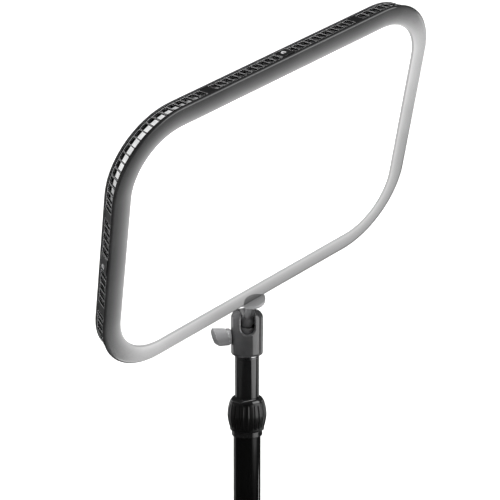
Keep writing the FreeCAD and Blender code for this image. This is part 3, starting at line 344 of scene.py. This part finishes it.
FINISHES = {
    "opal_diffuser": opal(),
    "grey_frame": lit_wall(),
    "black_tube": tube_paint("black_tube", 0.003, 0.075, 1.5),
    "grip_black": grip_rubber(),
    "green_board": circuit(),
    "led_yellow": phosphor(),
    "satin_black_frame": frame_paint(),
    "black_plastic": coated("black_plastic", (0.02, 0.02, 0.021), 0.36, 2600.0, 0.000012,
                            wear_and_highlight_colour=(0.16, 0.16, 0.165), wear_and_highlight=0.5),
    "dark_steel": metal("dark_steel", BLACK_STEEL, 0.3, (400.0, 400.0, 1500.0)),
    "opal_film": coated("opal_film", (0.86, 0.86, 0.87), 0.5, 3000.0, 0.000005, vary=0.03),
    "clear_acrylic": coated("clear_acrylic", (0.8, 0.85, 0.85), 0.08, 800.0, 0.000001, vary=0.03,
                            ior=1.49),
    "white_film": coated("white_film", (0.9, 0.9, 0.9), 0.3, 2000.0, 0.000003, vary=0.03),
    "raw_aluminium": metal("raw_aluminium", SILVER, 0.34, (70.0, 2200.0, 2200.0)),
    "white_board": coated("white_board", (0.82, 0.82, 0.8), 0.35, 1800.0, 0.000005, vary=0.05),
    "rear_black": coated("rear_black", (0.03, 0.03, 0.031), 0.42, 2100.0, 0.00003,
                         wear_and_highlight_colour=(0.2, 0.2, 0.205), wear_and_highlight=0.6),
    "component_black": coated("component_black", (0.03, 0.03, 0.03), 0.5, 1500.0, 0.00002),
    "inlet_black": coated("inlet_black", (0.012, 0.012, 0.012), 0.22, 1600.0, 0.000004),
    "brass": metal("brass", BRASS, 0.28, (1200.0, 1200.0, 1200.0)),
    "foot_rubber": coated("foot_rubber", (0.018, 0.018, 0.018), 0.62, 900.0, 0.00004, wear_and_highlight=0.4,
                          wear_and_highlight_colour=(0.09, 0.09, 0.088)),
    "gloss_black": coated("gloss_black", (0.006, 0.006, 0.0062), 0.12, 2600.0, 0.0000015,
                          wear_and_highlight_colour=(0.12, 0.12, 0.12), wear_and_highlight=0.3),
    "grey_nylon": coated("grey_nylon", (0.3, 0.3, 0.31), 0.48, 900.0, 0.00002, vary=0.1),
    "bright_steel": metal("bright_steel", (0.7, 0.7, 0.71), 0.2, (300.0, 300.0, 6000.0)),
    # Head body: its lighter edges are partly rubbed anodising and partly a painted highlight.
    "anodised_black": coated("anodised_black", (0.035, 0.035, 0.036), 0.13, 3400.0, 0.000003,
                             wear_and_highlight_colour=(0.34, 0.34, 0.345), wear_and_highlight=0.8, edge=0.0009),
    "dial_black": coated("dial_black", (0.022, 0.022, 0.023), 0.4, 2400.0, 0.00001,
                         wear_and_highlight_colour=(0.14, 0.14, 0.14), wear_and_highlight=0.5),
    "rocker_black": coated("rocker_black", (0.012, 0.012, 0.012), 0.16, 2000.0, 0.000003),
}
# Head pieces: their lighter edges are partly rubbed anodising and partly a painted highlight that picks out
# facets, grooves and chamfers, concave edges included.
HEAD_GREY = coated("anodised_grey", (0.1, 0.1, 0.102), 0.2, 3400.0, 0.000004,
                   wear_and_highlight_colour=(0.6, 0.6, 0.605), wear_and_highlight=0.9, vary=0.12)
KNOB_GREY = coated("knob_grey", (0.13, 0.13, 0.132), 0.2, 3400.0, 0.000004,
                   wear_and_highlight_colour=(0.75, 0.75, 0.755), wear_and_highlight=1.0, vary=0.12, edge=0.0009)
DISC_GREY = coated("disc_grey", (0.17, 0.17, 0.173), 0.22, 3400.0, 0.000003,
                   wear_and_highlight_colour=(0.7, 0.7, 0.7), wear_and_highlight=0.4, vary=0.08)
RIM_BLACK = rim_paint()
# Even glow of the disc, in place of light bounced off the panel above it.
BOUNCE_ON_DISC = 0.07
disc_shader = DISC_GREY.node_tree.nodes["Principled BSDF"]
disc_shader.inputs["Emission Color"].default_value = (1.0, 1.0, 1.0, 1.0)
disc_shader.inputs["Emission Strength"].default_value = BOUNCE_ON_DISC
# Light grey in place of the screws' bright metal: a painted reflection.
SCREW_GREY = coated("screw_grey", (0.4, 0.4, 0.405), 0.3, 2200.0, 0.000003, vary=0.1)
# A darker copy of the tube paint for the lower tube: painted shade, both tubes share one black paint.
LOWER_BLACK = tube_paint("black_tube_lower", 0.0008, 0.055, 1.42)
RING_GLOSS = coated("ring_gloss", (0.008, 0.008, 0.0082), 0.1, 2600.0, 0.0000015, ior=1.62)
BASE_GLOSS = coated("base_gloss", (0.004, 0.004, 0.0041), 0.07, 2600.0, 0.000001, ior=1.8)
SPECIAL_NODES = {"lock_knob": KNOB_GREY, "ball_stem": HEAD_GREY, "platform_disc": DISC_GREY,
                 "vent_ring": RIM_BLACK, "rim_screws": SCREW_GREY,
                 "collar_base": BASE_GLOSS, "lower_tube": LOWER_BLACK}


def paint_nodes():
    """Give every CAD node the finish of its material slot."""
    for name, node in nodes.items():
        node.data.materials.clear()
        node.data.materials.append(SPECIAL_NODES.get(name) or FINISHES[SLOTS[name]])


# ---------------------------------------------------------------- mesh helpers

CREASE_ANGLE = 32


def piece_from(mesh, name, material, body, replaced):
    """Finish a bmesh as a smooth-shaded piece that rides on a body."""
    bmesh.ops.recalc_face_normals(mesh, faces=mesh.faces)
    data = bpy.data.meshes.new(name)
    mesh.to_mesh(data)
    mesh.free()
    for face in data.polygons:
        face.use_smooth = True
    data.set_sharp_from_angle(angle=math.radians(CREASE_ANGLE))
    piece = bpy.data.objects.new(name, data)
    bpy.context.scene.collection.objects.link(piece)
    data.materials.append(material)
    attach(piece, body)
    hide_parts(*replaced)


def rounded_outline(half_wide, half_tall, corner, per_corner, per_side):
    """Points round a rounded rectangle with the direction that points outward at each."""
    outline = []
    centres = ((1, 1, 0), (-1, 1, 90), (-1, -1, 180), (1, -1, 270))
    for index, (side_x, side_y, start) in enumerate(centres):
        centre = Vector((side_x * (half_wide - corner), side_y * (half_tall - corner)))
        for step in range(per_corner + 1):
            turn = math.radians(start + 90 * step / per_corner)
            out = Vector((math.cos(turn), math.sin(turn)))
            outline.append((centre + corner * out, out))
        next_x, next_y, _ = centres[(index + 1) % 4]
        next_centre = Vector((next_x * (half_wide - corner), next_y * (half_tall - corner)))
        for step in range(1, per_side):
            outline.append((centre.lerp(next_centre, step / per_side) + corner * out, out))
    return outline


def join_rings(mesh, rings):
    """Faces between rings of vertices that follow each other round to the first."""
    for index, ring in enumerate(rings):
        following = rings[(index + 1) % len(rings)]
        for step in range(len(ring)):
            after = (step + 1) % len(ring)
            mesh.faces.new((ring[step], ring[after], following[after], following[step]))


def swept_ring(outline, profile):
    """A closed ring: (inset, height) points carried round an outline. Keeps the inset in mm."""
    mesh = bmesh.new()
    layer = mesh.verts.layers.float.new("inset")
    rings = []
    for point, out in outline:
        ring = []
        for inset, height in profile:
            place = point - inset * out
            vertex = mesh.verts.new(PANEL @ Vector((place.x, place.y, height)))
            vertex[layer] = inset / MM
            ring.append(vertex)
        rings.append(ring)
    join_rings(mesh, rings)
    return mesh


def arc(centre, radius, start, end, steps):
    """Points on an arc in a profile, angles in degrees."""
    turns = [math.radians(start + (end - start) * step / steps) for step in range(steps + 1)]
    return [(centre[0] + radius * math.cos(turn), centre[1] + radius * math.sin(turn))
            for turn in turns]


# ---------------------------------------------------------------- detailed pieces

OUTER_ROLL, INNER_BEVEL = 1.5 * MM, 0.45 * MM


def bezel_shell():
    """Bezel with a rolled outer edge, a broad flat face and a small bevel over the diffuser."""
    roll, bevel = OUTER_ROLL, INNER_BEVEL
    face = [(BEZEL_WIDE * step / 12, 0.0) for step in range(2, 12)]
    profile = [(0.0, -BEZEL_DEEP)]
    profile += arc((roll, -roll), roll, 180, 90, 8)
    profile += face
    profile += arc((BEZEL_WIDE - bevel, -bevel), bevel, 90, 0, 4)
    profile += [(BEZEL_WIDE, -LIP_DEEP), (BEZEL_WIDE - LIP_WIDE, -LIP_DEEP),
                (BEZEL_WIDE - LIP_WIDE, -BEZEL_DEEP)]
    outline = rounded_outline(HALF_WIDE, HALF_TALL, CORNER, 48, 24)
    mesh = swept_ring(outline, profile)
    piece_from(mesh, "bezel_shell", FINISHES["satin_black_frame"], "panel",
               ["front_bezel"])


RIB_FADE = 1.6 * MM
RIB_DEEP = 0.5 * MM
SLEEVE_BORE = 13.2 * MM
GRIP_RIBS = 24
GROOVE_HALF, GROOVE_ROUND = 0.2, 0.6


def turned_piece(profile, steps, name, material, replaced, ribs=0, rib_span=None):
    """Closed ring turned about the pole's axis from (radius, height) points, ribbed if asked."""
    mesh = bmesh.new()
    rings = []
    for step in range(steps):
        turn = 2 * math.pi * step / steps
        phase = (ribs * step / steps) % 1.0
        groove = max(0.0, 1.0 - abs(phase - 0.5) / GROOVE_HALF) ** GROOVE_ROUND
        ring = []
        for radius, height in profile:
            fade = 0.0
            if ribs and rib_span[0] < height < rib_span[1]:
                fade = min(1.0, (height - rib_span[0]) / RIB_FADE,
                           (rib_span[1] - height) / RIB_FADE)
            reach = radius - RIB_DEEP * groove * fade * (radius > SLEEVE_BORE)
            ring.append(mesh.verts.new((reach * math.cos(turn), reach * math.sin(turn), height)))
        rings.append(ring)
    join_rings(mesh, rings)
    piece_from(mesh, name, material, "twist_lock", replaced)


def spline(before, start, end, beyond, t):
    """Catmull-Rom value between start and end."""
    return 0.5 * (2 * start + (end - before) * t
                  + (2 * before - 5 * start + 4 * end - beyond) * t * t
                  + (3 * start - before - 3 * end + beyond) * t ** 3)


def smoothed(points, steps):
    """Curve through points."""
    curve = []
    for index in range(len(points) - 1):
        before = points[max(0, index - 1)]
        start, end = points[index], points[index + 1]
        beyond = points[min(len(points) - 1, index + 2)]
        for step in range(steps):
            t = step / steps
            curve.append(tuple(spline(before[axis], start[axis], end[axis], beyond[axis], t)
                               for axis in (0, 1)))
    curve.append(points[-1])
    return curve


def node_range(name):
    """Lowest and highest point of a node and its largest radius about the pole."""
    points = [vertex.co for vertex in nodes[name].data.vertices]
    heights = [point.z for point in points]
    return min(heights), max(heights), max(math.hypot(point.x, point.y) for point in points)


# Outsides of the turned pieces, in mm: in from the largest radius, up from the foot.
GRIP_OUTSIDE = ((2.2, 0.3), (2.05, 1.4), (1.95, 2.8), (1.3, 5.0), (0.5, 8.7), (0.02, 12.6),
                (0.07, 15.6), (0.55, 19.6), (1.35, 23.0))
GRIP_MOUTH, GRIP_FOOT = 2.1 * MM, 2.6 * MM
RIBS_FROM, RIBS_TO_TOP = 2.6 * MM, 1.0 * MM
SHOULDER_OUTSIDE = ((0.02, 0.0), (0.05, 0.7), (0.45, 1.7), (1.1, 2.6))
SHOULDER_MOUTH, SHOULDER_DIP = 2.0 * MM, 0.02 * MM
SHOULDER_THICK = 2.4 * MM
CURVE_STEPS = 5


def grip_sleeve():
    """Twist grip: a barrel swelling to its middle, with rounded finger ribs."""
    low, top, radius = node_range("twist_grip")
    outside = [(radius - inward * MM, low + up * MM) for inward, up in GRIP_OUTSIDE]
    outside.append((radius - GRIP_MOUTH, top))
    profile = [(SLEEVE_BORE, low), (radius - GRIP_FOOT, low)] + smoothed(outside, CURVE_STEPS)
    profile.append((SLEEVE_BORE, top))
    turned_piece(profile, GRIP_RIBS * 14, "grip_sleeve", FINISHES["grip_black"],
                 ["twist_grip"], GRIP_RIBS, (low + RIBS_FROM, top - RIBS_TO_TOP))


def shoulder_turned():
    """Rolled shoulder over the grip, gloss black."""
    low, top, radius = node_range("shoulder_ring")
    points = [vertex.co for vertex in nodes["shoulder_ring"].data.vertices]
    mouth = min(math.hypot(point.x, point.y) for point in points)
    outside = [(radius - inward * MM, low + up * MM) for inward, up in SHOULDER_OUTSIDE]
    outside.append((radius - SHOULDER_MOUTH, top - SHOULDER_DIP))
    profile = [(SLEEVE_BORE, low)] + smoothed(outside, CURVE_STEPS)
    profile += [(mouth, top), (mouth, top - SHOULDER_THICK)]
    turned_piece(profile, 192, "shoulder_turned", RING_GLOSS,
                 ["shoulder_ring"])


# ---------------------------------------------------------------- camera, floor and light

CAMERA_FROM_BALL = Vector((0.0026, -1.7123, 0.3651))
CAMERA_PITCH = 10.0
CAMERA_LENS = 145.77


def add_camera():
    data = bpy.data.cameras.new("camera")
    data.lens = CAMERA_LENS
    data.sensor_width = 36.0
    data.clip_end = 100.0
    camera = bpy.data.objects.new("camera", data)
    camera.location = BALL + CAMERA_FROM_BALL
    camera.rotation_euler = (math.radians(90 - CAMERA_PITCH), 0, 0)
    bpy.context.scene.collection.objects.link(camera)
    bpy.context.scene.camera = camera


FLOOR_FRONT, FLOOR_BACK, FLOOR_SIDE = -7.0, 3.0, 9.0
SWEEP, SWEEP_STEPS = 1.5, 12
BACKDROP_TOP = 8.0


def add_floor():
    """Pale floor that sweeps up into a backdrop far behind."""
    mesh = bmesh.new()
    profile = [(FLOOR_FRONT, 0.0), (FLOOR_BACK, 0.0)]
    for step in range(1, SWEEP_STEPS + 1):
        turn = math.radians(90 * step / SWEEP_STEPS)
        profile.append((FLOOR_BACK + SWEEP * math.sin(turn), SWEEP * (1 - math.cos(turn))))
    profile.append((FLOOR_BACK + SWEEP, BACKDROP_TOP))
    rows = [[mesh.verts.new((x, y, z)) for y, z in profile] for x in (-FLOOR_SIDE, FLOOR_SIDE)]
    for index in range(len(profile) - 1):
        mesh.faces.new((rows[0][index], rows[1][index], rows[1][index + 1], rows[0][index + 1]))
    data = bpy.data.meshes.new("floor")
    mesh.to_mesh(data)
    mesh.free()
    for face in data.polygons:
        face.use_smooth = True
    floor = bpy.data.objects.new("floor", data)
    bpy.context.scene.collection.objects.link(floor)
    data.materials.append(coated("floor_paper", (0.93, 0.93, 0.93), 0.9, 300.0, 0.00002, vary=0.01))
    floor.visible_glossy = False


def add_area(name, place, turn, wide, tall, radiance):
    """A one-sided light panel of even brightness, hidden from the camera."""
    data = bpy.data.lights.new(name, "AREA")
    data.shape = "RECTANGLE"
    data.size = wide
    data.size_y = tall
    data.energy = radiance * math.pi * wide * tall
    light = bpy.data.objects.new(name, data)
    light.location = place
    light.rotation_euler = turn
    light.visible_camera = False
    bpy.context.scene.collection.objects.link(light)
    return light


def facing(place, aim):
    return (Vector(aim) - Vector(place)).to_track_quat("-Z", "Y").to_euler()


# Where the bright half of the bezel begins, on the bezel's plane, lower left to upper right.
BRIGHT_EDGE = (Vector((-0.1484, -0.1021, 0)), Vector((0.1553, 0.0943, 0)))
MIRRORED_RADIANCE = 3.0
MIRRORED_REACH = 3.0
MIRRORED_SPARE = 1.15
STRIP_GAP = 0.01
# Extra strips over both ends of the mirrored panel, as shares of the bright edge's length.
STRIP_FROM, STRIP_TO = -0.25, 1.25
ENDS_BRIGHTER = ((0.19, 0.8), (0.16, 0.85), (0.12, 0.89), (0.08, 0.94))
LEFT_END_RADIANCE, RIGHT_END_RADIANCE = 0.5, 0.55


def add_mirrored_panel():
    """Light panel seen mirrored in the lower right half of the flat bezel."""
    eye = BALL + CAMERA_FROM_BALL
    local_eye = PANEL.inverted() @ eye
    local_eye.z = -local_eye.z
    behind = PANEL @ local_eye
    middle = PANEL.translation
    way = (middle - behind).normalized()
    plane_point = middle + MIRRORED_REACH * way

    def cast(local):
        start = PANEL @ local
        ray = start - behind
        return behind + ray * ((plane_point - behind).dot(way) / ray.dot(way))

    low, high = (cast(local) for local in BRIGHT_EDGE)
    far = cast(Vector((HALF_WIDE, -HALF_TALL, 0)))
    along = (high - low).normalized()
    across = (far - low) - (far - low).dot(along) * along
    tall = across.length * MIRRORED_SPARE
    across.normalize()
    length = (high - low).length
    turn = Matrix((along, way.cross(along), way)).transposed().to_euler()

    def strip(name, start, end, strength, nearer=0.0):
        centre = low + along * length * (start + end) / 2 + across * tall / 2 - way * nearer
        add_area(name, centre, turn, length * (end - start), tall, strength)

    strip("mirrored_panel", STRIP_FROM, STRIP_TO, MIRRORED_RADIANCE)
    for index, (left_end, right_start) in enumerate(ENDS_BRIGHTER):
        nearer = STRIP_GAP * (index + 1)
        strip(f"mirrored_left_{index}", STRIP_FROM, left_end, LEFT_END_RADIANCE, nearer)
        strip(f"mirrored_right_{index}", right_start, STRIP_TO, RIGHT_END_RADIANCE, nearer)


SOFTBOX_REACH = 2.0


def add_softbox(name, radiance, span, low, high):
    """Upright softbox over a span of azimuth, in degrees from the camera's side toward +x."""
    start, end = (math.radians(angle) for angle in span)
    middle = (start + end) / 2
    place = Vector((SOFTBOX_REACH * math.sin(middle), -SOFTBOX_REACH * math.cos(middle),
                    (low + high) / 2))
    wide = 2 * SOFTBOX_REACH * math.tan((end - start) / 2)
    add_area(name, place, facing(place, (0, 0, place.z)), wide, high - low, radiance)


RIGHT, BACK_LEFT, BACK_RIGHT, LEFT = (42, 97), (-150, -114), (119, 150), (-112, -30)
# Name, radiance, span of azimuth, and lowest and highest point.
SOFTBOXES = (("right_main", 3.5, RIGHT, 0.0, 2.2), ("right_skirt", 1.3, RIGHT, -0.095, 0.0),
             ("right_hem", 0.4, RIGHT, -0.14, -0.095), ("right_fringe", 0.1, RIGHT, -0.2, -0.14),
             ("back_left", 1.2, BACK_LEFT, 0.0, 0.6),
             ("back_left_low", 0.45, BACK_LEFT, -0.5, 0.0),
             ("back_right", 1.0, BACK_RIGHT, 0.0, 0.6), ("fill_left", 0.25, LEFT, 0.0, 1.6))
WORLD_STRENGTH = 0.05
HEAD_GLOW_FROM_BALL = Vector((-0.030, -0.026, 0.030))
NECK_FROM_BALL = Vector((0, 0, 0.004))
HEAD_GLOW_SIZE, HEAD_GLOW_RADIANCE = 0.014, 60.0
FLOOR_LIGHT_PLACE = (0, 1.5, 5.0)
FLOOR_LIGHT_SIZE, FLOOR_LIGHT_RADIANCE = 8, 3.3


def add_lights():
    world = bpy.data.worlds.new("world")
    world.use_nodes = True
    background = world.node_tree.nodes["Background"]
    background.inputs["Color"].default_value = (1, 1, 1, 1)
    background.inputs["Strength"].default_value = WORLD_STRENGTH
    bpy.context.scene.world = world
    for softbox in SOFTBOXES:
        add_softbox(*softbox)
    glow_place = BALL + HEAD_GLOW_FROM_BALL
    head_glow = add_area("head_glow", glow_place, facing(glow_place, BALL + NECK_FROM_BALL),
                         HEAD_GLOW_SIZE, HEAD_GLOW_SIZE, HEAD_GLOW_RADIANCE)
    head_glow.visible_glossy = False
    add_mirrored_panel()
    overhead = add_area("floor_light", FLOOR_LIGHT_PLACE, (0, 0, 0), FLOOR_LIGHT_SIZE,
                        FLOOR_LIGHT_SIZE, FLOOR_LIGHT_RADIANCE)
    overhead.visible_glossy = False


paint_nodes()
bezel_shell()
grip_sleeve()
shoulder_turned()
add_camera()
add_floor()
add_lights()
bpy.context.scene.view_settings.view_transform = "Standard"
